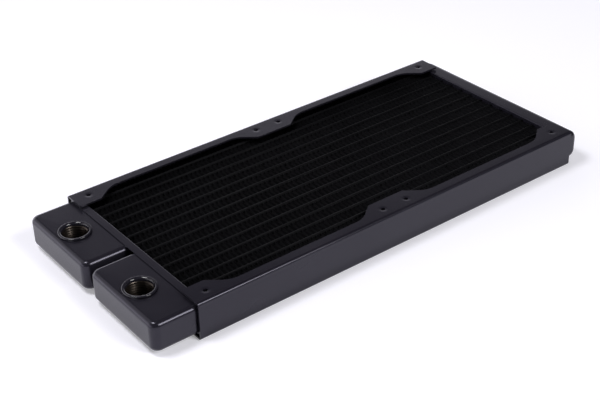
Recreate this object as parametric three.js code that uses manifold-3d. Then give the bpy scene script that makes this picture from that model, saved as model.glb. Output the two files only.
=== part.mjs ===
// Slim radiator of a liquid cooling loop, made to carry two square fans side by side.
// Millimetres, +Z up. It lies on its lower flanges, with the ports on top at the low end of X.
// X runs along the tubes and Y across them. The origin is under the middle of the part.

import * as THREE from 'three';
import { mergeVertices } from 'three/addons/utils/BufferGeometryUtils.js';
import Module from 'manifold-3d';

// Fan pattern
const fanSize = 120;
const fanHoleInset = 7.5;
const fanCount = 2;

// Side panels
const panelHeight = 20.5;
const panelEndMargin = 1;
const panelSideInset = 0.7;
const sheetThickness = 1;
const panelBendRadius = 0.6;
const railWidth = 6;
const tabMargin = 6.9;
const tabWidth = 22;
const windowBlendRadius = 12;
const tabCornerRadius = 1.5;
const windowSlope = THREE.MathUtils.degToRad(38);

// Screw holes, pressed inwards and tapped
const screwBore = 2.8;
const dimpleWidth = 5.4;
const dimpleDepth = 0.7;
const collarWidth = 5;
const collarDepth = 1.2;

// Chambers, with the radii of their bends taken inside
const portReach = 23;
const returnReach = 7.2;
const chamberDrop = 2.35;
const chamberGap = 4.4;
const chamberWall = 1.2;
const chamberEdgeRadius = 0.8;
const chamberCornerRadius = 2.4;
const returnEndRadius = 3.3;
const neckInset = 0.6;
const portStandoff = 1.3;
const returnStandoff = 0.4;

// Header plates
const headerRecess = 4.8;
const plateThickness = 1;
const rimDepth = 4.2;
const rimThickness = 0.8;
const rimEdgeRadius = 0.6;

// Flat tubes
const tubePitch = 8;
const tubeThickness = 2;
const tubeDrop = 3.7;
const tubeWall = 0.3;

// Fin strips
const finPitch = 9.2;
const finThickness = 0.3;
const finRecess = 0.25;
const outerFinLeast = 4.5;
const finEndGap = 0.7;

// Port bushes
const portBore = 11.8;
const bushWall = 1.5;
const bushLength = 8.5;
const bushRimLedge = 0.9;
const bushRimHeight = 1;
const bushRimRounding = 0.7;
const bushChamfer = 0.8;

// Clearances
const solderGap = 0.3;
const sideGap = 0.2;
const overrun = 1;
const weldDistance = 0.0005;

// Facets: half as many on each arc of an outline, and the whole count elsewhere
const bendFacets = 3;
const blendFacets = 3;
const cornerFacets = 3;
const tubeFacets = 2;
const edgeFacets = 4;
const rimEdgeFacets = 2;
const holeFacets = 12;
const portFacets = 32;

// Places worked out from those sizes
const fanHoleSpacing = fanSize - 2 * fanHoleInset;
const panelLength = fanCount * fanSize + 2 * panelEndMargin;
const overallWidth = fanSize - 2 * panelSideInset;
const windowLength = fanSize - tabWidth;
const coreLength = panelLength - 2 * headerRecess;
const tubeDepth = panelHeight - 2 * tubeDrop;
const finDepth = tubeDepth - 2 * finRecess;
const patternShift = (portReach - returnReach) / 2;
const halfLength = panelLength / 2;
const halfWidth = overallWidth / 2;
const innerFace = halfWidth - sheetThickness;
const railEdge = halfWidth - railWidth;
const tabEdge = fanHoleSpacing / 2 - tabMargin;
const midHeight = panelHeight / 2;
const plateFace = coreLength / 2;
const plateBack = plateFace + plateThickness;
const rimFace = plateFace + rimDepth;
const rimHalfWidth = innerFace - sideGap;
const neckHalfWidth = rimHalfWidth - rimThickness - solderGap;
const chamberHalfWidth = neckHalfWidth + neckInset;
const chamberHeight = panelHeight - 2 * chamberDrop;
const chamberTop = midHeight + chamberHeight / 2;
const chamberMiddle = (chamberGap / 2 + chamberHalfWidth) / 2;
const portStart = halfLength + portStandoff;
const portEnd = halfLength + portReach;
const portMiddle = (portStart + portEnd) / 2;
const returnEnd = halfLength + returnReach;
const bushWidth = portBore + 2 * bushWall;
const bushRimWidth = bushWidth + 2 * bushRimLedge;
const tubesPerChamber = 1 + Math.floor(
  (innerFace - (tubePitch + tubeThickness) / 2 - outerFinLeast) / tubePitch);
const tubeCount = 2 * tubesPerChamber;

// Finishes
const blackPaint = { color: 0x1c1b20, roughness: 0.38, metalness: 0.25 };
const blackCore = { color: 0x161618, roughness: 0.5, metalness: 0.4 };
const brass = { color: 0x8a6a48, roughness: 0.35, metalness: 0.9 };

const wasm = await Module();
wasm.setup();

// Turns a closed geometry into a solid that can be joined and cut
function solid(geometry) {
  const bare = new THREE.BufferGeometry();
  bare.setAttribute('position', geometry.getAttribute('position'));
  bare.setIndex(geometry.index);
  const welded = mergeVertices(bare, weldDistance);
  const corners = welded.index.array;
  const kept = [];
  for (let first = 0; first < corners.length; first += 3) {
    const [a, b, c] = corners.subarray(first, first + 3);
    if (a !== b && b !== c && c !== a) kept.push(a, b, c);
  }
  return new wasm.Manifold(new wasm.Mesh({
    numProp: 3,
    vertProperties: new Float32Array(welded.getAttribute('position').array),
    triVerts: new Uint32Array(kept),
  }));
}

function geometryOf(body) {
  const { vertProperties, triVerts } = body.getMesh();
  const geometry = new THREE.BufferGeometry();
  geometry.setAttribute('position', new THREE.BufferAttribute(vertProperties, 3));
  geometry.setIndex(new THREE.BufferAttribute(triVerts, 1));
  geometry.computeVertexNormals();
  return geometry;
}

function piece(name, geometry, finish) {
  const mesh = new THREE.Mesh(geometry, new THREE.MeshStandardMaterial(finish));
  mesh.name = name;
  return mesh;
}

function numbered(name, index) {
  return `${name}_${String(index + 1).padStart(2, '0')}`;
}

function extruded(outline, depth, curveSegments) {
  return new THREE.ExtrudeGeometry(outline, { depth, bevelEnabled: false, curveSegments });
}

// An outline given a rounded edge at both of its ends, and drawn in by the same radius first
function softened(outline, depth, radius, bevelSegments) {
  return new THREE.ExtrudeGeometry(outline, {
    depth,
    bevelThickness: radius,
    bevelSize: radius,
    bevelSegments,
    curveSegments: cornerFacets,
  });
}

// Lays what was extruded along Z along X instead, so its outline lies in Y and Z
function laidAlongX(geometry) {
  const axes = [new THREE.Vector3(0, 1, 0), new THREE.Vector3(0, 0, 1), new THREE.Vector3(1, 0, 0)];
  return geometry.applyMatrix4(new THREE.Matrix4().makeBasis(...axes));
}

// A plan outline raised along Z, centred on z
function raised(outline, z, height) {
  return extruded(outline, height, blendFacets).translate(0, 0, z - height / 2);
}

// A cross-section in Y and Z, drawn out along X from one place to another
function drawnOut(section, fromX, toX, curveSegments) {
  return laidAlongX(extruded(section, toX - fromX, curveSegments)).translate(fromX, 0, 0);
}

// A profile of radius and height turned about Z
function turned(profile, segments) {
  const points = profile.map(([radius, height]) => new THREE.Vector2(radius, height));
  return new THREE.LatheGeometry(points, segments).rotateX(Math.PI / 2);
}

// A block along X between two places, past the part on all its other sides
function slice(fromX, toX) {
  const reach = 2 * (halfWidth + overrun);
  const size = [toX - fromX, reach, reach];
  return new THREE.BoxGeometry(...size).translate((fromX + toX) / 2, 0, midHeight);
}

// Rectangle with rounded corners, from one corner to the opposite one
function roundedRectangle(lowX, lowY, highX, highY, radius) {
  const square = Math.PI / 2;
  const outline = new THREE.Shape();
  outline.moveTo(lowX + radius, lowY);
  outline.lineTo(highX - radius, lowY);
  outline.absarc(highX - radius, lowY + radius, radius, -square, 0);
  outline.lineTo(highX, highY - radius);
  outline.absarc(highX - radius, highY - radius, radius, 0, square);
  outline.lineTo(lowX + radius, highY);
  outline.absarc(lowX + radius, highY - radius, radius, square, 2 * square);
  outline.lineTo(lowX, lowY + radius);
  outline.absarc(lowX + radius, lowY + radius, radius, 2 * square, 3 * square);
  return outline;
}

// Side panels: a sheet bent to a channel, with two windows cut between its screw tabs
function channelSection() {
  const outer = panelBendRadius + sheetThickness;
  const bendY = halfWidth - outer;
  const highBend = panelHeight - outer;
  const square = Math.PI / 2;
  const section = new THREE.Shape();
  section.moveTo(tabEdge, 0);
  section.lineTo(bendY, 0);
  section.absarc(bendY, outer, outer, -square, 0);
  section.lineTo(halfWidth, highBend);
  section.absarc(bendY, highBend, outer, 0, square);
  section.lineTo(tabEdge, panelHeight);
  section.lineTo(tabEdge, panelHeight - sheetThickness);
  section.lineTo(bendY, panelHeight - sheetThickness);
  section.absarc(bendY, highBend, panelBendRadius, square, 0, true);
  section.lineTo(innerFace, outer);
  section.absarc(bendY, outer, panelBendRadius, 0, -square, true);
  section.lineTo(tabEdge, sheetThickness);
  return section;
}

function windowOutline() {
  const half = windowLength / 2;
  const blendHeight = windowBlendRadius * (1 - Math.cos(windowSlope));
  const slopeTop = railEdge - blendHeight;
  const slopeEnd = half - (slopeTop - tabEdge) / Math.tan(windowSlope);
  const railEnd = slopeEnd - windowBlendRadius * Math.sin(windowSlope);
  const corner = tabCornerRadius * Math.tan(windowSlope / 2);
  const cornerX = corner * Math.cos(windowSlope);
  const cornerY = corner * Math.sin(windowSlope);
  const blendCentre = railEdge - windowBlendRadius;
  const square = Math.PI / 2;
  const outline = new THREE.Shape();
  outline.moveTo(-half - corner, tabEdge - overrun);
  outline.lineTo(half + corner, tabEdge - overrun);
  outline.lineTo(half + corner, tabEdge);
  outline.quadraticCurveTo(half, tabEdge, half - cornerX, tabEdge + cornerY);
  outline.lineTo(slopeEnd, slopeTop);
  outline.absarc(railEnd, blendCentre, windowBlendRadius, square - windowSlope, square);
  outline.lineTo(-railEnd, railEdge);
  outline.absarc(-railEnd, blendCentre, windowBlendRadius, square, square + windowSlope);
  outline.lineTo(-half + cornerX, tabEdge + cornerY);
  outline.quadraticCurveTo(-half, tabEdge, -half - corner, tabEdge);
  return outline;
}

// Collar under a flange and the hole through it, with the flange's outer face at zero
function collar() {
  const low = -sheetThickness - collarDepth;
  const radius = collarWidth / 2;
  return turned([[0, low], [radius, low], [radius, -dimpleDepth], [0, -dimpleDepth]], holeFacets);
}

function tappedHole() {
  const low = -sheetThickness - collarDepth - overrun;
  const bore = screwBore / 2;
  const flare = dimpleWidth / 2;
  return turned([
    [0, low],
    [bore, low],
    [bore, -dimpleDepth],
    [(bore + flare) / 2, -dimpleDepth / 3],
    [flare, 0],
    [flare, overrun],
    [0, overrun],
  ], holeFacets);
}

function fanPlaces() {
  return Array.from({ length: fanCount }, (_, fan) => (fan - (fanCount - 1) / 2) * fanSize);
}

function sidePanel() {
  let body = solid(drawnOut(channelSection(), -halfLength, halfLength, bendFacets));
  for (const centre of fanPlaces()) {
    const window = raised(windowOutline(), midHeight, panelHeight + 2 * overrun);
    body = body.subtract(solid(window.translate(centre, 0, 0)));
    for (const side of [-1, 1]) {
      const place = [centre + side * fanHoleSpacing / 2, fanHoleSpacing / 2];
      const upper = (geometry) => solid(geometry.translate(...place, panelHeight));
      const lower = (geometry) => solid(geometry.rotateX(Math.PI).translate(...place, 0));
      body = body.add(upper(collar())).add(lower(collar()));
      body = body.subtract(upper(tappedHole())).subtract(lower(tappedHole()));
    }
  }
  return geometryOf(body);
}

// Chambers: a drawn box whose closed end is at high X, all its faces moved in by inset
function drawnBox(lowY, highY, closedEnd, inset) {
  const grow = chamberWall - inset;
  const edge = chamberEdgeRadius + grow;
  const start = plateFace - chamberCornerRadius;
  const height = chamberHeight - 2 * inset;
  const outline = roundedRectangle(
    start + edge, lowY + inset + edge,
    closedEnd - inset - edge, highY - inset - edge, chamberCornerRadius + grow - edge);
  const box = softened(outline, height - 2 * edge, edge, edgeFacets);
  return solid(box.translate(0, 0, midHeight - height / 2 + edge));
}

// A thinner neck at low X plugs into the header's rim
function chamber(lowY, highY, bodyStart, closedEnd, shaped = (body) => body) {
  const box = (inset) => shaped(drawnBox(lowY, highY, closedEnd, inset), inset);
  const past = closedEnd + overrun;
  const shell = box(0).intersect(solid(slice(bodyStart, past)));
  const neck = box(neckInset).intersect(solid(slice(plateBack + solderGap, past)));
  return shell.add(neck).subtract(box(chamberWall));
}

// The port chambers are built with the mouth at low X and turned half round, which swaps their side
function portChamber(side) {
  const edges = [-side * chamberGap / 2, -side * chamberHalfWidth].sort((a, b) => a - b);
  const radius = bushWidth / 2 + solderGap;
  const depth = chamberWall + overrun;
  const bore = turned([[0, -depth], [radius, -depth], [radius, overrun], [0, overrun]], portFacets);
  bore.translate(portMiddle, -side * chamberMiddle, chamberTop);
  return geometryOf(chamber(...edges, portStart, portEnd).subtract(solid(bore)));
}

// The return chamber's closed end has a larger bend above and below
function returnChamber() {
  const bent = (body, inset) => {
    const half = chamberHeight / 2 - inset;
    const radius = returnEndRadius + chamberWall - inset;
    const side = roundedRectangle(
      -returnEnd, midHeight - half, returnEnd - inset, midHeight + half, radius);
    const across = extruded(side, overallWidth, edgeFacets).translate(0, 0, -halfWidth);
    return body.intersect(solid(across.rotateX(Math.PI / 2)));
  };
  const start = rimFace + returnStandoff;
  return geometryOf(chamber(-chamberHalfWidth, chamberHalfWidth, start, returnEnd, bent));
}

// Port bush, with the underside of its rim at zero
function portBush() {
  const bore = portBore / 2;
  const rim = bushRimWidth / 2;
  const shoulder = rim - bushRimRounding;
  const slant = bushRimRounding * (1 - Math.SQRT1_2);
  return turned([
    [bore, -bushLength],
    [bushWidth / 2, -bushLength],
    [bushWidth / 2, 0],
    [rim, 0],
    [rim, bushRimHeight - bushRimRounding],
    [rim - slant, bushRimHeight - slant],
    [shoulder, bushRimHeight],
    [bore + bushChamfer, bushRimHeight],
    [bore, bushRimHeight - bushChamfer],
    [bore, -bushLength],
  ], portFacets);
}

// Flat tubes, whose outline grown by a clearance also makes the header's slots
function tubeOutline(grow) {
  const y = tubeThickness / 2 + grow;
  const z = tubeDepth / 2 + grow;
  const flat = z - y;
  const outline = new THREE.Shape();
  outline.moveTo(y, -flat);
  outline.lineTo(y, flat);
  outline.absarc(0, flat, y, 0, Math.PI);
  outline.lineTo(-y, -flat);
  outline.absarc(0, -flat, y, Math.PI, 2 * Math.PI);
  return outline;
}

function flatTube() {
  const section = tubeOutline(0);
  section.holes.push(tubeOutline(-tubeWall));
  return drawnOut(section, -plateBack, plateBack, tubeFacets);
}

function tubePlaces() {
  return Array.from({ length: tubeCount }, (_, index) => (index - (tubeCount - 1) / 2) * tubePitch);
}

// Header plate: a shallow pan whose rim holds the chambers' necks, with its floor towards the core
function headerPlate() {
  const wide = rimHalfWidth - rimThickness;
  const high = chamberHeight / 2 - neckInset + solderGap;
  const radius = chamberEdgeRadius + chamberWall - neckInset + solderGap;
  const grow = rimThickness - rimEdgeRadius;
  const floor = roundedRectangle(-wide - grow, -high - grow, wide + grow, high + grow, radius + grow);
  const pan = laidAlongX(softened(floor, rimDepth, rimEdgeRadius, rimEdgeFacets));
  let body = solid(pan.translate(plateFace + rimEdgeRadius, 0, 0));
  body = body.subtract(solid(slice(rimFace, rimFace + rimDepth).translate(0, 0, -midHeight)));
  const mouth = roundedRectangle(-wide, -high, wide, high, radius);
  body = body.subtract(solid(drawnOut(mouth, plateBack, rimFace + overrun, cornerFacets)));
  for (const y of tubePlaces()) {
    const slot = drawnOut(
      tubeOutline(solderGap), plateFace - overrun, plateBack + overrun, tubeFacets);
    body = body.subtract(solid(slot.translate(0, y, 0)));
  }
  return geometryOf(body);
}

// Fin strip: a sheet folded to and fro between its two neighbours, drawn in X and Y
function finStrip(width) {
  const length = coreLength - 2 * finEndGap;
  const folds = 2 * Math.round(length / finPitch);
  const lift = finThickness / 2 * Math.hypot(1, 2 * width / finPitch);
  const crest = width / 2 - lift;
  const upper = [];
  const lower = [];
  for (let fold = 0; fold <= folds; fold += 1) {
    const x = (fold / folds - 0.5) * length;
    const y = fold % 2 === 0 ? -crest : crest;
    upper.push(new THREE.Vector2(x, y + lift));
    lower.push(new THREE.Vector2(x, y - lift));
  }
  return raised(new THREE.Shape([...lower, ...upper.reverse()]), 0, finDepth);
}

const radiator = new THREE.Group();

const panel = sidePanel();
const leftPanel = piece('side_panel_left', panel, blackPaint);
const rightPanel = piece('side_panel_right', panel, blackPaint);
rightPanel.rotation.z = Math.PI;
radiator.add(leftPanel, rightPanel);

const core = new THREE.Group();
core.position.z = midHeight;
const tube = flatTube();
const places = tubePlaces();
places.forEach((y, index) => {
  const mesh = piece(numbered('flat_tube', index), tube, blackCore);
  mesh.position.y = y;
  core.add(mesh);
});

const innerFin = finStrip(tubePitch - tubeThickness - 2 * solderGap);
const lastTube = places[places.length - 1] + tubeThickness / 2;
const outerFin = finStrip(innerFace - lastTube - 2 * solderGap);
for (let index = 0; index <= tubeCount; index += 1) {
  const outermost = index === 0 || index === tubeCount;
  const side = index === 0 ? -1 : 1;
  const mesh = piece(numbered('fin_strip', index), outermost ? outerFin : innerFin, blackCore);
  mesh.position.y = outermost ? side * (lastTube + innerFace) / 2 : places[index] - tubePitch / 2;
  core.add(mesh);
}

const header = headerPlate();
const returnHeader = piece('header_plate_return', header, blackPaint);
const portHeader = piece('header_plate_port', header, blackPaint);
portHeader.rotation.z = Math.PI;
core.add(returnHeader, portHeader);
radiator.add(core);

radiator.add(piece('return_chamber', returnChamber(), blackPaint));

const portGroup = new THREE.Group();
portGroup.rotation.z = Math.PI;
for (const [use, side] of [['inlet', -1], ['outlet', 1]]) {
  portGroup.add(piece(`port_chamber_${use}`, portChamber(side), blackPaint));
  const bush = piece(`port_bush_${use}`, portBush(), brass);
  bush.position.set(portMiddle, -side * chamberMiddle, chamberTop + solderGap);
  portGroup.add(bush);
}
radiator.add(portGroup);

radiator.position.x = patternShift;
const part = new THREE.Group();
part.add(radiator);

export default part;
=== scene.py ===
"""Slim liquid cooling radiator: its pieces, finishes and studio, built around the packed solids."""

import math
import random

import bmesh
import bpy
from bpy.props import FloatProperty, FloatVectorProperty, IntProperty, PointerProperty
from mathutils import Matrix, Vector


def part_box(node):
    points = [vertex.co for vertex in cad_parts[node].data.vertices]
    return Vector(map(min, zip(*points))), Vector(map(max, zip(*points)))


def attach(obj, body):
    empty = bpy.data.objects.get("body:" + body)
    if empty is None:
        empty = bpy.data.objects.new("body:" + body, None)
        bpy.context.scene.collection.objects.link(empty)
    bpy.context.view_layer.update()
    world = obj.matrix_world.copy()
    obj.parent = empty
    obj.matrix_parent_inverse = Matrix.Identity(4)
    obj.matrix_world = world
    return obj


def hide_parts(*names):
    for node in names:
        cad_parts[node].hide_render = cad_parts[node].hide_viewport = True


bl_info = {
    "name": "Liquid Cooling Radiator",
    "version": (1, 0, 0),
    "blender": (4, 5, 0),
    "location": "View3D > Sidebar > Radiator",
    "description": "Builds the pieces, finishes and studio of a slim radiator",
    "category": "Add Mesh",
}

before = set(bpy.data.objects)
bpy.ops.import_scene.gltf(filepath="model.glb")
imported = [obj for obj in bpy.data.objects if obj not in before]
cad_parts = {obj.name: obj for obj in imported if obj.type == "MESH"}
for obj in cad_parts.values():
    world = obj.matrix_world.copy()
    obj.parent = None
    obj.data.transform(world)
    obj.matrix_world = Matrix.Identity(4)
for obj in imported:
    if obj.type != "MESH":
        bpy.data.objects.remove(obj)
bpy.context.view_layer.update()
panel_low, panel_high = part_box("side_panel_left")
TUBES = sorted(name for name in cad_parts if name.startswith("flat_tube_"))
FINS = sorted(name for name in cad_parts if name.startswith("fin_strip_"))
Y, Z = 1, 2  # places of the axes in a vector
TINY = 1e-6  # metres within which two places are the same
FACING = 0.9  # least cosine for a face that looks roughly one way
FLAT = 0.99  # least cosine for a face that looks squarely one way
SHARP = math.radians(40)  # least angle of an edge that is broken
DIMPLE_STEPS = 6
WANDER_RATES = (31, 67, 148)  # radians that the folds' wander turns through along a strip


def length(name, description, default):
    return FloatProperty(name=name, description=description, default=default, min=0, precision=5, unit="LENGTH")


def colour(name, description, default):
    return FloatVectorProperty(
        name=name, description=description, default=default, size=3, min=0, max=1, subtype="COLOR")


class PanelSizes(bpy.types.PropertyGroup):
    """Sizes of the two side panels."""

    fan_size: length("Fan size", "Side of the fans that the flanges carry", 0.12)
    hole_spacing: length("Hole spacing", "Distance between the screw holes of one fan", 0.105)
    sheet: length("Sheet", "Thickness of the steel sheet", 0.001)
    bend_radius: length("Bend radius", "Outer radius of the bends between web and flanges", 0.0016)
    rail_width: length("Rail width", "Width of a flange beside the windows", 0.006)
    tab_width: length("Tab width", "Width of the tab between the two windows", 0.022)
    window_blend: length("Window blend", "Radius where a window's end meets the rail", 0.012)
    tab_corner: length("Tab corner", "Radius at the tip of a tab", 0.0015)
    end_corner: length("End corner", "Radius at the ends of a flange", 0.0006)
    edge: length("Edge", "Width of the broken edge of the sheet", 0.00013)
    window_slope: FloatProperty(
        name="Window slope", description="Slope of the windows' ends", default=math.radians(38), subtype="ANGLE")
    dimple_width: length("Dimple width", "Width of the dimple round a screw hole", 0.0056)
    dimple_depth: length("Dimple depth", "Depth of the dimple round a screw hole", 0.00008)
    screw_bore: length("Screw bore", "Bore of the screw holes", 0.0025)


class ChamberSizes(bpy.types.PropertyGroup):
    """Sizes of the chambers at both ends."""

    wall: length("Wall", "Thickness of a chamber's wall", 0.0012)
    corner_radius: length("Corner radius", "Outer radius of a port chamber's upright corners", 0.0044)
    edge_radius: length("Edge radius", "Outer radius of the long edges", 0.0027)
    return_radius: length("Return radius", "Outer radius of the return chamber's far edges", 0.0045)
    side_radius: length("Side radius", "Outer radius round the return chamber's sides", 0.003)
    collar_inset: length("Collar inset", "Step from the chamber in to its collar", 0.00012)
    collar_length: length("Collar length", "Length of the collar beside the chamber's mouth", 0.001)
    neck_inset: length("Neck inset", "Step from the chamber in to its neck", 0.0005)
    port_standoff: length("Port standoff", "Gap from the panels' ends to the port chambers", 0.0005)
    return_standoff: length("Return standoff", "Gap from the header's rim to the return chamber", 0.0004)
    edge: length("Edge", "Width of the broken edges", 0.00018)


class HeaderSizes(bpy.types.PropertyGroup):
    """Sizes of the two header plates."""

    sheet: length("Sheet", "Thickness of a header plate", 0.0008)
    corner_radius: length("Corner radius", "Outer radius of the rim's corners", 0.0025)
    edge_radius: length("Edge radius", "Outer radius where the rim meets the floor", 0.0005)
    slot_gap: length("Slot gap", "Gap round a tube in its slot", 0.0001)
    edge: length("Edge", "Width of the rim's broken edge", 0.0002)


class CoreSizes(bpy.types.PropertyGroup):
    """Sizes of the flat tubes and the folded fins."""

    tube_wall: length("Tube wall", "Thickness of a tube's wall", 0.0003)
    solder_gap: length("Solder gap", "Solder between a fin and a tube", 0.0003)
    fin_sheet: length("Fin sheet", "Thickness of the fin foil", 0.00012)
    fin_crest: length("Fin crest", "Flat length at the top of a fold", 0.0007)
    fin_bend: length("Fin bend", "Length that a bend takes from each fold", 0.0003)
    fin_drift: length("Fin drift", "How far the folds wander from an even spacing", 0.00022)
    fin_waves: IntProperty(name="Fin waves", description="Waves in one fin strip", default=84, min=1)
    seed: IntProperty(name="Seed", description="Seed of the folds' wander", default=7)


class PortSizes(bpy.types.PropertyGroup):
    """Sizes of the threaded port bushes."""

    thread_width: length("Thread width", "Major diameter of the thread", 0.0131)
    thread_bore: length("Thread bore", "Minor diameter of the thread", 0.0118)
    thread_pitch: length("Thread pitch", "Pitch of the thread", 0.001337)
    rim_edge: length("Rim edge", "Radius along the rim's outer edge", 0.0004)
    rim_rounding: length("Rim rounding", "Radius along the rim's inner edge", 0.0011)
    rim_overhang: length("Rim overhang", "Reach of the rim over the chamber's top", 0.001)
    fade_depth: length("Fade depth", "Depth below the rim where the thread starts to fade", 0.00176)
    fade_sink: length("Fade sink", "How far the faded thread sinks into the bore's wall", 0.00025)
    turns: IntProperty(name="Turns", description="Turns of the thread", default=7, min=1)
    turn_steps: IntProperty(name="Turn steps", description="Steps in one turn of the thread", default=40, min=3)


class Finishes(bpy.types.PropertyGroup):
    """Colours of the paint, the core and the bushes."""

    paint: colour("Paint", "Black paint of the panels and chambers", (0.0115, 0.0105, 0.0155))
    paint_haze: colour("Paint haze", "Paler clouds in the paint", (0.0145, 0.0135, 0.019))
    foil: colour("Foil", "Black coat of the fins", (0.0073, 0.0072, 0.0084))
    foil_haze: colour("Foil haze", "Paler clouds in the fins' coat", (0.0107, 0.0105, 0.0122))
    tube: colour("Tube", "Black coat of the tubes", (0.0031, 0.003, 0.0036))
    tube_haze: colour("Tube haze", "Paler clouds in the tubes' coat", (0.0048, 0.0047, 0.0056))
    brass: colour("Brass", "Dull brass of the threads", (0.07, 0.057, 0.047))
    brass_stain: colour("Brass stain", "Darker stain on the threads", (0.026, 0.021, 0.018))
    floor: colour("Floor", "Pale floor", (0.88, 0.87, 0.95))
    room: colour("Room", "Tint of the room's light", (0.94, 0.92, 1))


class StudioSettings(bpy.types.PropertyGroup):
    """Camera, lamps and floor."""

    camera_place: FloatVectorProperty(
        name="Camera place", description="Where the camera stands", default=(-0.3383, -0.43174, 0.34385),
        subtype="TRANSLATION", precision=5)
    camera_turn: FloatVectorProperty(
        name="Camera turn", description="Turn of the camera about X, Y and Z", subtype="EULER",
        default=(math.radians(58.3636), math.radians(1.7834), math.radians(-37.0994)))
    lens: FloatProperty(name="Lens", description="Focal length", default=73.69, min=1, unit="CAMERA")
    shift: FloatVectorProperty(
        name="Shift", description="Shift of the frame, in frame widths", default=(0.037, -0.0133), size=2, precision=4)
    floor_size: length("Floor size", "Side of the floor", 8)
    floor_glow: FloatProperty(
        name="Floor glow", description="White that the floor adds where it is seen", default=0.25, min=0)
    sky: FloatProperty(name="Sky", description="Level of the dim upper room", default=0.04, min=0)
    backdrop: FloatProperty(
        name="Backdrop", description="Level of the pale backdrop at the horizon", default=2.7, min=0)
    backdrop_top: FloatProperty(
        name="Backdrop top", description="Height at which the backdrop has faded, as a share of straight up",
        default=0.64, min=0.01, max=1)
    backdrop_bearing: FloatProperty(
        name="Backdrop bearing", description="Direction of the backdrop's brightest part", default=math.radians(115),
        subtype="ANGLE")
    backdrop_edge: FloatProperty(
        name="Backdrop edge", description="Cosine of the turn from the bearing at which the backdrop starts to fade",
        default=0.55, min=0, max=1)


class Lamp:
    """A soft white lamp: its place, what it faces, its two side lengths and its power."""

    def __init__(self, name, place, aim, size, power):
        self.name, self.place, self.aim = name, Vector(place), Vector(aim)
        self.size, self.power = size, power


LAMPS = (
    Lamp("overhead_lamp", (-0.32, 0.1, 0.72), (-0.1, 0, 0), (0.22, 0.22), 2.8),
    Lamp("left_lamp", (-0.8, 0.9, 0.85), (-0.1, 0, 0), (1.5, 1.1), 3.5),
    Lamp("bend_lamp", (0.76, -2.1, 1.66), (-0.1, -0.05, 0), (1.15, 1.15), 50),
)


# Shapes shared by several pieces


def closed_outline(bm, points):
    """Joins points into a closed loop of edges and returns its corners."""
    corners = [bm.verts.new(point) for point in points]
    for first, second in zip(corners, corners[1:] + corners[:1]):
        bm.edges.new((first, second))
    return corners


def round_corners(bm, corners, reach, segments):
    bmesh.ops.bevel(
        bm, geom=corners, offset=reach, offset_type="OFFSET", segments=segments, profile=0.5,
        affect="VERTICES", material=-1)


def round_edges(bm, edges, radius, segments):
    bmesh.ops.bevel(
        bm, geom=edges, offset=radius, offset_type="OFFSET", segments=segments, profile=0.5,
        affect="EDGES", material=-1)


def draw_ring(bm, edges, centre=Vector(), factor=(1, 1, 1), shift=(0, 0, 0)):
    """Extrudes a loop of edges, scales it about a centre, moves it and returns the new loop."""
    made = bmesh.ops.extrude_edge_only(bm, edges=edges)["geom"]
    verts = [item for item in made if isinstance(item, bmesh.types.BMVert)]
    bmesh.ops.scale(bm, vec=factor, verts=verts, space=Matrix.Translation(-centre))
    bmesh.ops.translate(bm, vec=shift, verts=verts)
    new = set(verts)
    return [item for item in made if isinstance(item, bmesh.types.BMEdge) and new.issuperset(item.verts)]


def circle(bm, centre, radius, segments):
    """A ring of edges lying flat about a centre."""
    made = bmesh.ops.create_circle(
        bm, cap_ends=False, radius=radius, segments=segments, matrix=Matrix.Translation(centre))
    ring = set(made["verts"])
    return list({edge for vert in ring for edge in vert.link_edges})


def rectangle(x, low, high, grow=0):
    """Corners of an upright rectangle across X."""
    return [
        (x, low.y - grow, low.z - grow), (x, high.y + grow, low.z - grow),
        (x, high.y + grow, high.z + grow), (x, low.y - grow, high.z + grow)]


def face_outwards(bm, outward):
    """Makes the faces agree, and turns them so that the one furthest along outward looks that way."""
    bmesh.ops.recalc_face_normals(bm, faces=bm.faces)
    bm.normal_update()
    facing = [face for face in bm.faces if abs(face.normal.dot(outward)) > FACING]
    furthest = max(facing, key=lambda face: face.calc_center_median().dot(outward))
    if furthest.normal.dot(outward) < 0:
        bmesh.ops.reverse_faces(bm, faces=bm.faces)


def border_of_flats(bm, axis):
    """Edges between a face that looks along an axis and one that doesn't."""
    bm.normal_update()
    return [
        edge for edge in bm.edges
        if len(edge.link_faces) == 2 and sum(abs(face.normal[axis]) > FLAT for face in edge.link_faces) == 1]


def finished_piece(name, bm, nodes, material):
    """Makes a piece of a bmesh, which rides with the radiator and stands for CAD nodes."""
    if not bm.faces:
        raise RuntimeError(f"{name} has no faces")
    mesh = bpy.data.meshes.new(name)
    bm.to_mesh(mesh)
    bm.free()
    mesh.shade_smooth()
    mesh.materials.append(material)
    piece = bpy.data.objects.new(name, mesh)
    bpy.context.scene.collection.objects.link(piece)
    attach(piece, "root")
    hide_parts(*nodes)
    return piece


def thicken(piece, thickness):
    modifier = piece.modifiers.new("wall", "SOLIDIFY")
    modifier.thickness = thickness
    modifier.offset = -1
    modifier.use_even_offset = True


def break_edges(piece, width):
    modifier = piece.modifiers.new("edges", "BEVEL")
    modifier.width = width
    modifier.segments = 2
    modifier.limit_method = "ANGLE"
    modifier.angle_limit = SHARP
    flatten_shading(piece)


def flatten_shading(piece):
    """Takes the normals from the larger faces, so that flat sides shade as flat."""
    modifier = piece.modifiers.new("shading", "WEIGHTED_NORMAL")
    modifier.weight = 100
    modifier.thresh = 0.001


# Finishes


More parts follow.
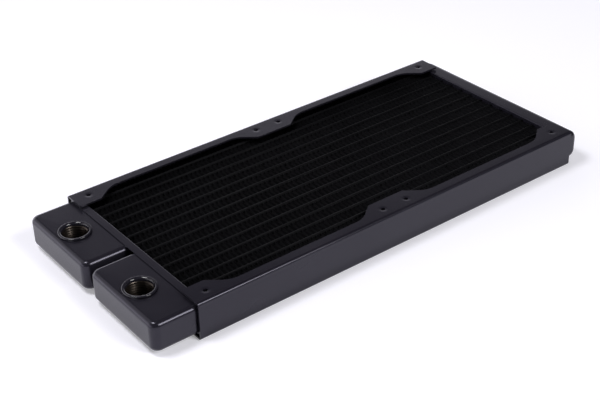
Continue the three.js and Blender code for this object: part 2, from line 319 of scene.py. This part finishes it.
def surface_grain():
    """Node group: a fine grain height and slow clouds, both from object coordinates."""
    group = bpy.data.node_groups.get("surface_grain")
    if group:
        return group
    group = bpy.data.node_groups.new("surface_grain", "ShaderNodeTree")
    for name, default in (("Grain Scale", 700), ("Cloud Scale", 30)):
        socket = group.interface.new_socket(name, in_out="INPUT", socket_type="NodeSocketFloat")
        socket.default_value = default
    for name in ("Height", "Clouds"):
        group.interface.new_socket(name, in_out="OUTPUT", socket_type="NodeSocketFloat")
    nodes, links = group.nodes, group.links
    given, result = nodes.new("NodeGroupInput"), nodes.new("NodeGroupOutput")
    place = nodes.new("ShaderNodeTexCoord")
    grain, clouds = nodes.new("ShaderNodeTexNoise"), nodes.new("ShaderNodeTexNoise")
    grain.inputs["Detail"].default_value = 2
    clouds.inputs["Detail"].default_value = 4
    spread = nodes.new("ShaderNodeMapRange")
    spread.inputs["From Min"].default_value = 0.3
    spread.inputs["From Max"].default_value = 0.7
    links.new(place.outputs["Object"], grain.inputs["Vector"])
    links.new(place.outputs["Object"], clouds.inputs["Vector"])
    links.new(given.outputs["Grain Scale"], grain.inputs["Scale"])
    links.new(given.outputs["Cloud Scale"], clouds.inputs["Scale"])
    links.new(grain.outputs["Fac"], result.inputs["Height"])
    links.new(clouds.outputs["Fac"], spread.inputs["Value"])
    links.new(spread.outputs["Result"], result.inputs["Clouds"])
    return group


def coated_metal(
        name, base, haze, roughness, grain_scale, grain_depth, metallic=0, specular=0.5, sheen=(1, 1, 1)):
    """A material with clouds in its colour and gloss, and a fine grain."""
    material = bpy.data.materials.get(name)
    if material:
        return material
    material = bpy.data.materials.new(name)
    material.use_nodes = True
    nodes, links = material.node_tree.nodes, material.node_tree.links
    shader = nodes["Principled BSDF"]
    shader.inputs["Metallic"].default_value = metallic
    shader.inputs["Specular IOR Level"].default_value = specular
    shader.inputs["Specular Tint"].default_value = (*sheen, 1)
    grain = nodes.new("ShaderNodeGroup")
    grain.node_tree = surface_grain()
    grain.inputs["Grain Scale"].default_value = grain_scale
    tint = nodes.new("ShaderNodeMix")
    tint.data_type = "RGBA"
    tint.inputs["A"].default_value = (*base, 1)
    tint.inputs["B"].default_value = (*haze, 1)
    gloss = nodes.new("ShaderNodeMapRange")
    gloss.inputs["To Min"].default_value = roughness[0]
    gloss.inputs["To Max"].default_value = roughness[1]
    bump = nodes.new("ShaderNodeBump")
    bump.inputs["Strength"].default_value = 1
    bump.inputs["Distance"].default_value = grain_depth
    links.new(grain.outputs["Clouds"], tint.inputs["Factor"])
    links.new(grain.outputs["Clouds"], gloss.inputs["Value"])
    links.new(grain.outputs["Height"], bump.inputs["Height"])
    links.new(tint.outputs["Result"], shader.inputs["Base Color"])
    links.new(gloss.outputs["Result"], shader.inputs["Roughness"])
    links.new(bump.outputs["Normal"], shader.inputs["Normal"])
    return material


def black_paint(finishes):
    return coated_metal(
        "satin_paint", finishes.paint, finishes.paint_haze, roughness=(0.16, 0.21), grain_scale=900,
        grain_depth=0.000004, specular=0.37, sheen=(0.86, 0.83, 1))


def rim_gloss(finishes):
    return coated_metal(
        "rim_gloss", finishes.paint, finishes.paint_haze, roughness=(0.07, 0.12), grain_scale=900,
        grain_depth=0.000002)


def fin_coat(finishes):
    return coated_metal(
        "fin_coat", finishes.foil, finishes.foil_haze, roughness=(0.6, 0.75), grain_scale=500,
        grain_depth=0.00002, specular=0.06)


def tube_coat(finishes):
    return coated_metal(
        "tube_coat", finishes.tube, finishes.tube_haze, roughness=(0.5, 0.65), grain_scale=600,
        grain_depth=0.00001, specular=0.05)


def thread_brass(finishes):
    return coated_metal(
        "thread_brass", finishes.brass, finishes.brass_stain, roughness=(0.24, 0.36), grain_scale=1200,
        grain_depth=0.00001, metallic=0.9)


# Side panels


def side_panel_sheet(sizes):
    """The left panel about its own middle: a web and two flanges, open towards low Y."""
    half = (panel_high.x - panel_low.x) / 2
    half_height = (panel_high.z - panel_low.z) / 2
    bend_y = panel_high.y - sizes.bend_radius
    rail_y = panel_high.y - sizes.rail_width
    tip_y = panel_low.y
    window = (sizes.fan_size - sizes.tab_width) / 2
    slant = (rail_y - tip_y) / math.tan(sizes.window_slope)
    tangent = math.tan(sizes.window_slope / 2)
    plan = [(-half, bend_y), (-half, tip_y)]
    for centre in (-sizes.fan_size / 2, sizes.fan_size / 2):
        plan += [(centre - window, tip_y), (centre - window + slant, rail_y)]
        plan += [(centre + window - slant, rail_y), (centre + window, tip_y)]
    plan += [(half, tip_y), (half, bend_y)]
    bm = bmesh.new()
    corners = closed_outline(bm, [(x, y, half_height) for x, y in plan])
    rail = [corner for corner in corners if abs(corner.co.y - rail_y) < TINY]
    ends = [corner for corner in corners if abs(corner.co.y - tip_y) < TINY and abs(corner.co.x) > half - TINY]
    tips = [corner for corner in corners if abs(corner.co.y - tip_y) < TINY and corner not in ends]
    round_corners(bm, rail, sizes.window_blend * tangent, segments=10)
    round_corners(bm, tips, sizes.tab_corner * tangent, segments=4)
    round_corners(bm, ends, sizes.end_corner, segments=4)

    dimples = []
    for centre in (-sizes.fan_size / 2, sizes.fan_size / 2):
        for side in (-1, 1):
            middle = Vector((centre + side * sizes.hole_spacing / 2, sizes.hole_spacing / 2, half_height))
            dimples.append((middle, circle(bm, middle, sizes.dimple_width / 2, segments=28)))
    bmesh.ops.triangle_fill(bm, edges=bm.edges, use_beauty=True, normal=(0, 0, 1))
    for middle, ring in dimples:
        press_dimple(bm, middle, ring, sizes)

    fold = [edge for edge in bm.edges if all(abs(vert.co.y - bend_y) < TINY for vert in edge.verts)]
    geometry = fold + [vert for edge in fold for vert in edge.verts]
    bent = bmesh.ops.spin(
        bm, geom=geometry, cent=(0, bend_y, half_height - sizes.bend_radius), axis=(-1, 0, 0),
        angle=math.pi / 2, steps=8)["geom_last"]
    fold = [item for item in bent if isinstance(item, bmesh.types.BMEdge)]
    draw_ring(bm, fold, shift=(0, 0, sizes.bend_radius - half_height))
    bmesh.ops.mirror(bm, geom=bm.verts[:] + bm.edges[:] + bm.faces[:], axis="Z", merge_dist=TINY)
    bmesh.ops.remove_doubles(bm, verts=bm.verts, dist=TINY)
    face_outwards(bm, Vector((0, 1, 0)))
    return bm


def press_dimple(bm, middle, ring, sizes):
    """Sinks a screw hole's dimple in a soft step, and draws its bore on below."""
    rim = 1 + 2 * sizes.edge / sizes.dimple_width
    ring = draw_ring(bm, ring, middle, (1 / rim, 1 / rim, 1))
    widest = radius = sizes.dimple_width / 2 / rim
    depth = 0
    for step in range(1, DIMPLE_STEPS + 1):
        share = step / DIMPLE_STEPS
        narrower = widest * (1 - share) + sizes.screw_bore / 2 * share
        deeper = sizes.dimple_depth * (1 - math.cos(math.pi * share)) / 2
        factor = narrower / radius
        ring = draw_ring(bm, ring, middle, (factor, factor, 1), (0, 0, depth - deeper))
        radius, depth = narrower, deeper
    draw_ring(bm, ring, shift=(0, 0, -sizes.sheet))


class RADIATOR_OT_side_panels(bpy.types.Operator):
    """Bends the two side panels with their flanges, windows and screw dimples"""

    bl_idname = "radiator.side_panels"
    bl_label = "Side Panels"

    def execute(self, context):
        sizes, finishes = context.scene.radiator_panels, context.scene.radiator_finishes
        middle = (panel_low + panel_high) / 2
        for side, turn in (("left", 0), ("right", math.pi)):
            bm = side_panel_sheet(sizes)
            bmesh.ops.rotate(bm, cent=(0, 0, 0), matrix=Matrix.Rotation(turn, 3, "Z"), verts=bm.verts)
            bmesh.ops.translate(bm, vec=(middle.x, 0, middle.z), verts=bm.verts)
            piece = finished_piece(
                f"pressed_side_{side}", bm, [f"side_panel_{side}"], black_paint(finishes))
            thicken(piece, sizes.sheet)
            break_edges(piece, sizes.edge)
        return {"FINISHED"}


# Chambers


def chamber_shell(low, high, mouth, sizes, end_radius=0):
    """A drawn box closed away from the core, with a narrower neck in its open mouth."""
    closed, neck = (low.x, high.x) if abs(low.x) > abs(high.x) else (high.x, low.x)
    centre = Vector(((closed + mouth) / 2, (low.y + high.y) / 2, (low.z + high.z) / 2))
    span = Vector((abs(closed - mouth), high.y - low.y, high.z - low.z))
    bm = bmesh.new()
    bmesh.ops.create_cube(bm, size=1)
    bmesh.ops.scale(bm, vec=span, verts=bm.verts)
    bmesh.ops.translate(bm, vec=centre, verts=bm.verts)
    opening = [face for face in bm.faces if all(abs(vert.co.x - mouth) < TINY for vert in face.verts)]
    bmesh.ops.delete(bm, geom=opening, context="FACES_ONLY")
    far = [edge for edge in bm.edges if all(abs(vert.co.x - closed) < TINY for vert in edge.verts)]
    upright = [edge for edge in far if abs(edge.verts[0].co.y - edge.verts[1].co.y) < TINY]
    level = [edge for edge in far if edge not in upright]
    if end_radius:
        round_edges(bm, level, end_radius, segments=10)
        round_edges(bm, border_of_flats(bm, Y), sizes.side_radius, segments=8)
    else:
        round_edges(bm, upright, sizes.corner_radius, segments=10)
        round_edges(bm, border_of_flats(bm, Z), sizes.edge_radius, segments=6)
    inwards = math.copysign(1, neck - mouth)
    ring = [edge for edge in bm.edges if edge.is_boundary]
    ring = draw_ring(bm, ring, centre, (1, *step_in(span, 0, sizes.collar_inset)))
    ring = draw_ring(bm, ring, shift=(inwards * sizes.collar_length, 0, 0))
    ring = draw_ring(bm, ring, centre, (1, *step_in(span, sizes.collar_inset, sizes.neck_inset)))
    draw_ring(bm, ring, shift=(neck - mouth - inwards * sizes.collar_length, 0, 0))
    return bm


def step_in(span, outer, inner):
    """Factors that bring an opening from one inset to a deeper one."""
    return [(size - 2 * inner) / (size - 2 * outer) for size in span.yz]


def cut_port(bm, centre, radius):
    """Cuts a round hole in the flat top of a chamber."""
    bm.normal_update()
    top = max((face for face in bm.faces if face.normal.z > FLAT), key=lambda face: face.calc_area())
    border = list(top.edges)
    bmesh.ops.delete(bm, geom=[top], context="FACES_ONLY")
    ring = circle(bm, centre, radius, segments=48)
    bmesh.ops.triangle_fill(bm, edges=border + ring, use_beauty=True, normal=(0, 0, 1))


class RADIATOR_OT_port_chambers(bpy.types.Operator):
    """Draws the inlet and the outlet chamber, each with a hole for its bush"""

    bl_idname = "radiator.port_chambers"
    bl_label = "Port Chambers"

    def execute(self, context):
        sizes, finishes = context.scene.radiator_chambers, context.scene.radiator_finishes
        overhang = context.scene.radiator_ports.rim_overhang
        mouth = panel_low.x - sizes.port_standoff
        for use in ("inlet", "outlet"):
            low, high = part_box(f"port_chamber_{use}")
            bush_low, bush_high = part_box(f"port_bush_{use}")
            bm = chamber_shell(low, high, mouth, sizes)
            middle = (bush_low + bush_high) / 2
            radius = (bush_high.x - bush_low.x) / 2 - overhang
            cut_port(bm, Vector((middle.x, middle.y, high.z)), radius)
            face_outwards(bm, Vector((-1, 0, 0)))
            piece = finished_piece(
                f"{use}_chamber", bm, [f"port_chamber_{use}"], black_paint(finishes))
            thicken(piece, sizes.wall)
            break_edges(piece, sizes.edge)
        return {"FINISHED"}


class RADIATOR_OT_return_chamber(bpy.types.Operator):
    """Draws the return chamber, whose far end is bent in wider curves"""

    bl_idname = "radiator.return_chamber"
    bl_label = "Return Chamber"

    def execute(self, context):
        sizes, finishes = context.scene.radiator_chambers, context.scene.radiator_finishes
        low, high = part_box("return_chamber")
        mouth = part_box("header_plate_return")[1].x + sizes.return_standoff
        bm = chamber_shell(low, high, mouth, sizes, sizes.return_radius)
        face_outwards(bm, Vector((1, 0, 0)))
        piece = finished_piece("turnaround_chamber", bm, ["return_chamber"], black_paint(finishes))
        thicken(piece, sizes.wall)
        break_edges(piece, sizes.edge)
        return {"FINISHED"}


# Header plates


def header_pan(low, high, floor, rim, sizes):
    """A shallow pan with a slot for each tube, its floor at one X and its rim's edge at another."""
    bm = bmesh.new()
    round_corners(bm, closed_outline(bm, rectangle(floor, low, high)), sizes.corner_radius, segments=6)
    border = bm.edges[:]
    slots = []
    for tube in TUBES:
        tube_low, tube_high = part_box(tube)
        slots += closed_outline(bm, rectangle(floor, tube_low, tube_high, sizes.slot_gap))
    round_corners(bm, slots, (tube_high.y - tube_low.y) / 2, segments=4)
    bmesh.ops.triangle_fill(bm, edges=bm.edges, use_beauty=True, normal=(1, 0, 0))
    draw_ring(bm, border, shift=(rim - floor, 0, 0))
    round_edges(bm, border, sizes.edge_radius, segments=4)
    return bm


class RADIATOR_OT_header_plates(bpy.types.Operator):
    """Presses the two header plates that hold the tubes' ends"""

    bl_idname = "radiator.header_plates"
    bl_label = "Header Plates"

    def execute(self, context):
        sizes, finishes = context.scene.radiator_headers, context.scene.radiator_finishes
        for end in ("port", "return"):
            low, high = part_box(f"header_plate_{end}")
            floor, rim = (low.x, high.x) if end == "return" else (high.x, low.x)
            bm = header_pan(low, high, floor, rim, sizes)
            face_outwards(bm, Vector((0, 0, 1)))
            piece = finished_piece(
                f"header_pan_{end}", bm, [f"header_plate_{end}"], black_paint(finishes))
            thicken(piece, sizes.sheet)
            break_edges(piece, sizes.edge)
        return {"FINISHED"}


# Core


class RADIATOR_OT_flat_tubes(bpy.types.Operator):
    """Draws the flat coolant tubes"""

    bl_idname = "radiator.flat_tubes"
    bl_label = "Flat Tubes"

    def execute(self, context):
        sizes, finishes = context.scene.radiator_core, context.scene.radiator_finishes
        for index, tube in enumerate(TUBES, 1):
            low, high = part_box(tube)
            bm = bmesh.new()
            corners = closed_outline(bm, rectangle(low.x, low, high))
            round_corners(bm, corners, (high.y - low.y) / 2 - TINY, segments=6)
            draw_ring(bm, bm.edges[:], shift=(high.x - low.x, 0, 0))
            bmesh.ops.remove_doubles(bm, verts=bm.verts, dist=2 * TINY)
            face_outwards(bm, Vector((0, 1, 0)))
            piece = finished_piece(f"coolant_tube_{index:02d}", bm, [tube], tube_coat(finishes))
            thicken(piece, sizes.tube_wall)
        return {"FINISHED"}


def folded_strip(low, high, sizes, wander):
    """A foil folded to and fro between two tubes, from one wave that is copied along X."""
    pitch = (high.x - low.x) / sizes.fin_waves
    middle = (low.y + high.y) / 2
    swing = (high.y - low.y) / 2 + sizes.solder_gap - sizes.fin_sheet / 2
    crest = sizes.fin_crest / 2
    wave = [
        (0, -swing), (crest, -swing), (pitch / 2 - crest, swing), (pitch / 2 + crest, swing),
        (pitch - crest, -swing), (pitch, -swing)]
    bm = bmesh.new()
    verts = [bm.verts.new((low.x + x, middle + y, low.z)) for x, y in wave]
    for first, second in zip(verts, verts[1:]):
        bm.edges.new((first, second))
    round_corners(bm, verts[1:-1], sizes.fin_bend, segments=2)
    draw_ring(bm, bm.edges[:], shift=(0, 0, high.z - low.z))
    first_wave = bm.verts[:] + bm.edges[:] + bm.faces[:]
    for index in range(1, sizes.fin_waves):
        copied = bmesh.ops.duplicate(bm, geom=first_wave)["geom"]
        moved = [item for item in copied if isinstance(item, bmesh.types.BMVert)]
        bmesh.ops.translate(bm, vec=(index * pitch, 0, 0), verts=moved)
    bmesh.ops.remove_doubles(bm, verts=bm.verts, dist=TINY)
    phases = [wander.uniform(0, 2 * math.pi) for _ in WANDER_RATES]
    for vert in bm.verts:
        along = (vert.co.x - low.x) / (high.x - low.x)
        sway = sum(math.sin(turns * along + phase) for turns, phase in zip(WANDER_RATES, phases))
        vert.co.x += sizes.fin_drift * sway * math.sin(math.pi * along)
    bmesh.ops.recalc_face_normals(bm, faces=bm.faces)
    return bm


class RADIATOR_OT_fin_strips(bpy.types.Operator):
    """Folds the fin strips between the tubes"""

    bl_idname = "radiator.fin_strips"
    bl_label = "Fin Strips"

    def execute(self, context):
        sizes, finishes = context.scene.radiator_core, context.scene.radiator_finishes
        wander = random.Random(sizes.seed)
        for index, fin in enumerate(FINS, 1):
            low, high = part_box(fin)
            bm = folded_strip(low, high, sizes, wander)
            piece = finished_piece(f"folded_fin_{index:02d}", bm, [fin], fin_coat(finishes))
            thicken(piece, sizes.fin_sheet)
            flatten_shading(piece)
        return {"FINISHED"}


# Port bushes


def spun(bm, centre, turn=2 * math.pi, steps=64, rise=0):
    """Turns all the edges about an upright axis, rising by a length over each full turn."""
    full = not rise
    step_rise = (0, 0, rise * turn / (2 * math.pi) / steps)
    bmesh.ops.spin(
        bm, geom=bm.verts[:] + bm.edges[:], cent=centre, axis=(0, 0, 1), dvec=step_rise, angle=turn,
        steps=steps, use_merge=full)
    bmesh.ops.remove_doubles(bm, verts=bm.verts, dist=TINY)


def bush_body(low, high, seat, sizes):
    """The bush's rounded rim and outer wall, round a plain hole as wide as the thread."""
    centre = Vector(((low.x + high.x) / 2, (low.y + high.y) / 2, 0))
    rim, hole = (high.x - low.x) / 2, sizes.thread_width / 2
    wall = rim - sizes.rim_overhang
    profile = [(wall, low.z), (wall, seat), (rim, seat), (rim, high.z), (hole, high.z), (hole, low.z)]
    bm = bmesh.new()
    corners = closed_outline(bm, [(centre.x + radius, centre.y, z) for radius, z in profile])
    round_corners(bm, corners[3:4], sizes.rim_edge, segments=6)
    round_corners(bm, corners[4:5], sizes.rim_rounding, segments=10)
    spun(bm, centre)
    face_outwards(bm, Vector((0, 0, 1)))
    return bm


def bush_thread(low, high, sizes):
    """A screw thread running up the bore and facing its axis, which fades out where the rim opens."""
    centre = Vector(((low.x + high.x) / 2, (low.y + high.y) / 2, 0))
    bore, root, pitch = sizes.thread_bore / 2, sizes.thread_width / 2, sizes.thread_pitch
    foot = high.z - sizes.rim_rounding - sizes.turns * pitch
    # One turn of the thread: radius, and height as a share of the pitch
    profile = [(bore, 0), (bore, 0.12), (root, 0.45), (root, 0.67), (bore, 1)]
    bm = bmesh.new()
    verts = [bm.verts.new((centre.x + radius, centre.y, foot + share * pitch)) for radius, share in profile]
    for first, second in zip(verts, verts[1:]):
        bm.edges.new((first, second))
    spun(bm, centre, 2 * math.pi * sizes.turns, sizes.turn_steps * sizes.turns, pitch)
    for vert in bm.verts:
        offset = vert.co - centre
        across = Vector((offset.x, offset.y, 0))
        opening = root + (vert.co.z - high.z + sizes.fade_depth)
        if across.length < opening:
            vert.co += across * (min(opening, root + sizes.fade_sink) / across.length - 1)
    bmesh.ops.recalc_face_normals(bm, faces=bm.faces)
    bm.normal_update()
    largest = max(bm.faces, key=lambda face: face.calc_area())
    if largest.normal.xy.dot((largest.calc_center_median() - centre).xy) > 0:
        bmesh.ops.reverse_faces(bm, faces=bm.faces)
    return bm


class RADIATOR_OT_port_bushes(bpy.types.Operator):
    """Turns the two port bushes and cuts their threads"""

    bl_idname = "radiator.port_bushes"
    bl_label = "Port Bushes"

    def execute(self, context):
        sizes, finishes = context.scene.radiator_ports, context.scene.radiator_finishes
        for use in ("inlet", "outlet"):
            node = f"port_bush_{use}"
            low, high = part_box(node)
            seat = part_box(f"port_chamber_{use}")[1].z
            finished_piece(
                f"{use}_bush_rim", bush_body(low, high, seat, sizes), [node], rim_gloss(finishes))
            finished_piece(
                f"{use}_bush_thread", bush_thread(low, high, sizes), [node], thread_brass(finishes))
        return {"FINISHED"}


# Studio


def floor_finish(tint, glow):
    """A pale floor that keeps shadows, and is a little whiter where it is seen, mirrored or looked through."""
    material = bpy.data.materials.new("pale_floor")
    material.use_nodes = True
    nodes, links = material.node_tree.nodes, material.node_tree.links
    shader = nodes["Principled BSDF"]
    shader.inputs["Base Color"].default_value = (*tint, 1)
    shader.inputs["Roughness"].default_value = 0.9
    shader.inputs["Emission Color"].default_value = (1, 1, 1, 1)
    rays = nodes.new("ShaderNodeLightPath")
    mirrored = nodes.new("ShaderNodeMath")
    mirrored.operation = "MAXIMUM"
    shown = nodes.new("ShaderNodeMath")
    shown.operation = "MAXIMUM"
    level = nodes.new("ShaderNodeMath")
    level.operation = "MULTIPLY"
    level.inputs[1].default_value = glow
    links.new(rays.outputs["Is Camera Ray"], mirrored.inputs[0])
    links.new(rays.outputs["Is Glossy Ray"], mirrored.inputs[1])
    links.new(mirrored.outputs["Value"], shown.inputs[0])
    links.new(rays.outputs["Is Transmission Ray"], shown.inputs[1])
    links.new(shown.outputs["Value"], level.inputs[0])
    links.new(level.outputs["Value"], shader.inputs["Emission Strength"])
    return material


def studio_sky(settings, tint):
    """A dim room with a low pale backdrop, which is brightest towards one side."""
    world = bpy.data.worlds.new("studio")
    bpy.context.scene.world = world
    world.use_nodes = True
    nodes, links = world.node_tree.nodes, world.node_tree.links
    background = nodes["Background"]
    background.inputs["Color"].default_value = (*tint, 1)
    direction, parts = nodes.new("ShaderNodeTexCoord"), nodes.new("ShaderNodeSeparateXYZ")
    height, side = nodes.new("ShaderNodeMapRange"), nodes.new("ShaderNodeMapRange")
    height.interpolation_type = side.interpolation_type = "SMOOTHSTEP"
    height.inputs["From Min"].default_value = settings.backdrop_top
    height.inputs["From Max"].default_value = 0
    side.inputs["From Min"].default_value = 0
    side.inputs["From Max"].default_value = settings.backdrop_edge
    toward = nodes.new("ShaderNodeVectorMath")
    toward.operation = "DOT_PRODUCT"
    bearing = settings.backdrop_bearing
    toward.inputs[1].default_value = (math.cos(bearing), math.sin(bearing), 0)
    pale = nodes.new("ShaderNodeMath")
    pale.operation = "MULTIPLY"
    level = nodes.new("ShaderNodeMapRange")
    level.inputs["To Min"].default_value = settings.sky
    level.inputs["To Max"].default_value = settings.backdrop
    links.new(direction.outputs["Generated"], parts.inputs["Vector"])
    links.new(direction.outputs["Generated"], toward.inputs[0])
    links.new(parts.outputs["Z"], height.inputs["Value"])
    links.new(toward.outputs["Value"], side.inputs["Value"])
    links.new(height.outputs["Result"], pale.inputs[0])
    links.new(side.outputs["Result"], pale.inputs[1])
    links.new(pale.outputs["Value"], level.inputs["Value"])
    links.new(level.outputs["Result"], background.inputs["Strength"])


class RADIATOR_OT_stage(bpy.types.Operator):
    """Sets up the floor, the lamps, the room and the camera"""

    bl_idname = "radiator.stage"
    bl_label = "Studio"

    def execute(self, context):
        scene = context.scene
        settings, finishes = scene.radiator_studio, scene.radiator_finishes
        bm = bmesh.new()
        bmesh.ops.create_grid(bm, x_segments=1, y_segments=1, size=settings.floor_size / 2)
        mesh = bpy.data.meshes.new("studio_floor")
        bm.to_mesh(mesh)
        bm.free()
        mesh.materials.append(floor_finish(finishes.floor, settings.floor_glow))
        floor = bpy.data.objects.new("studio_floor", mesh)
        scene.collection.objects.link(floor)
        for lamp in LAMPS:
            light = bpy.data.lights.new(lamp.name, "AREA")
            light.shape = "RECTANGLE"
            light.size, light.size_y = lamp.size
            light.energy = lamp.power
            holder = bpy.data.objects.new(lamp.name, light)
            holder.location = lamp.place
            holder.rotation_euler = (lamp.aim - lamp.place).to_track_quat("-Z", "Y").to_euler()
            scene.collection.objects.link(holder)
        studio_sky(settings, finishes.room)
        view = bpy.data.cameras.new("camera")
        view.sensor_width = 36
        view.lens = settings.lens
        view.shift_x, view.shift_y = settings.shift
        camera = bpy.data.objects.new("camera", view)
        camera.location = settings.camera_place
        camera.rotation_euler = settings.camera_turn
        scene.collection.objects.link(camera)
        scene.camera = camera
        scene.view_settings.view_transform = "Standard"
        return {"FINISHED"}


OPERATORS = (
    RADIATOR_OT_side_panels, RADIATOR_OT_port_chambers, RADIATOR_OT_return_chamber, RADIATOR_OT_header_plates,
    RADIATOR_OT_flat_tubes, RADIATOR_OT_fin_strips, RADIATOR_OT_port_bushes, RADIATOR_OT_stage)
SETTINGS = {
    "radiator_panels": PanelSizes,
    "radiator_chambers": ChamberSizes,
    "radiator_headers": HeaderSizes,
    "radiator_core": CoreSizes,
    "radiator_ports": PortSizes,
    "radiator_finishes": Finishes,
    "radiator_studio": StudioSettings,
}


class RADIATOR_PT_sidebar(bpy.types.Panel):
    """Lists the radiator's pieces and their settings"""

    bl_idname = "RADIATOR_PT_sidebar"
    bl_label = "Radiator"
    bl_space_type = "VIEW_3D"
    bl_region_type = "UI"
    bl_category = "Radiator"

    def draw(self, context):
        for operator in OPERATORS:
            self.layout.operator(operator.bl_idname)
        for name, group in SETTINGS.items():
            box = self.layout.box()
            box.label(text=group.__doc__)
            for setting in group.__annotations__:
                box.prop(getattr(context.scene, name), setting)


def register():
    for group in SETTINGS.values():
        bpy.utils.register_class(group)
    for name, group in SETTINGS.items():
        setattr(bpy.types.Scene, name, PointerProperty(type=group))
    for operator in OPERATORS:
        bpy.utils.register_class(operator)
    bpy.utils.register_class(RADIATOR_PT_sidebar)


def unregister():
    bpy.utils.unregister_class(RADIATOR_PT_sidebar)
    for operator in reversed(OPERATORS):
        bpy.utils.unregister_class(operator)
    for name in SETTINGS:
        delattr(bpy.types.Scene, name)
    for group in SETTINGS.values():
        bpy.utils.unregister_class(group)


def main():
    register()
    bpy.ops.radiator.side_panels()
    bpy.ops.radiator.port_chambers()
    bpy.ops.radiator.return_chamber()
    bpy.ops.radiator.header_plates()
    bpy.ops.radiator.flat_tubes()
    bpy.ops.radiator.fin_strips()
    bpy.ops.radiator.port_bushes()
    bpy.ops.radiator.stage()


if __name__ == "__main__":
    main()
